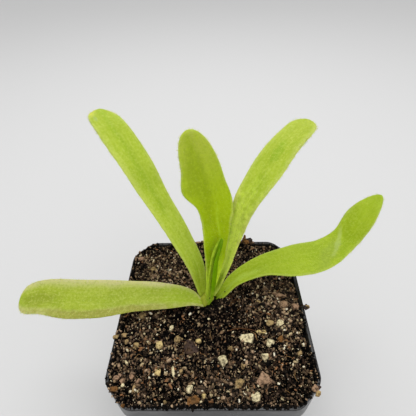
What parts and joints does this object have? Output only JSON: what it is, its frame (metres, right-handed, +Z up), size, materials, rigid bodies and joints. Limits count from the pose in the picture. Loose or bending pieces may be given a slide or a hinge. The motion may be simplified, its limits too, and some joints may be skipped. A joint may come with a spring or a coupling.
{
  "type": "potted butterwort",
  "caption": "Butterwort with long fleshy strap leaves that rise and spread from one short crown, rooted in gritty soil in a tapering square nursery pot.",
  "frame": {"origin": "centre of the pot's flat underside", "axes": "+Z up out of the pot, +X to the right as the picture shows it, +Y to the back, away from the viewer"},
  "size_m": [0.1267, 0.0695, 0.1182],
  "materials": {
    "pot": "satin",
    "soil": "matte",
    "crown": "satin",
    "leaf_left": "satin",
    "leaf_back_left": "satin",
    "leaf_centre": "satin",
    "leaf_back_right": "satin",
    "leaf_right": "satin",
    "leaf_young": "satin"
  },
  "bodies": {
    "root": {"pot": "pot", "soil": "soil", "crown": "crown", "leaf_left": "leaf_left", "leaf_back_left": "leaf_back_left", "leaf_centre": "leaf_centre", "leaf_back_right": "leaf_back_right", "leaf_right": "leaf_right", "leaf_young": "leaf_young"}
  },
  "joints": []
}
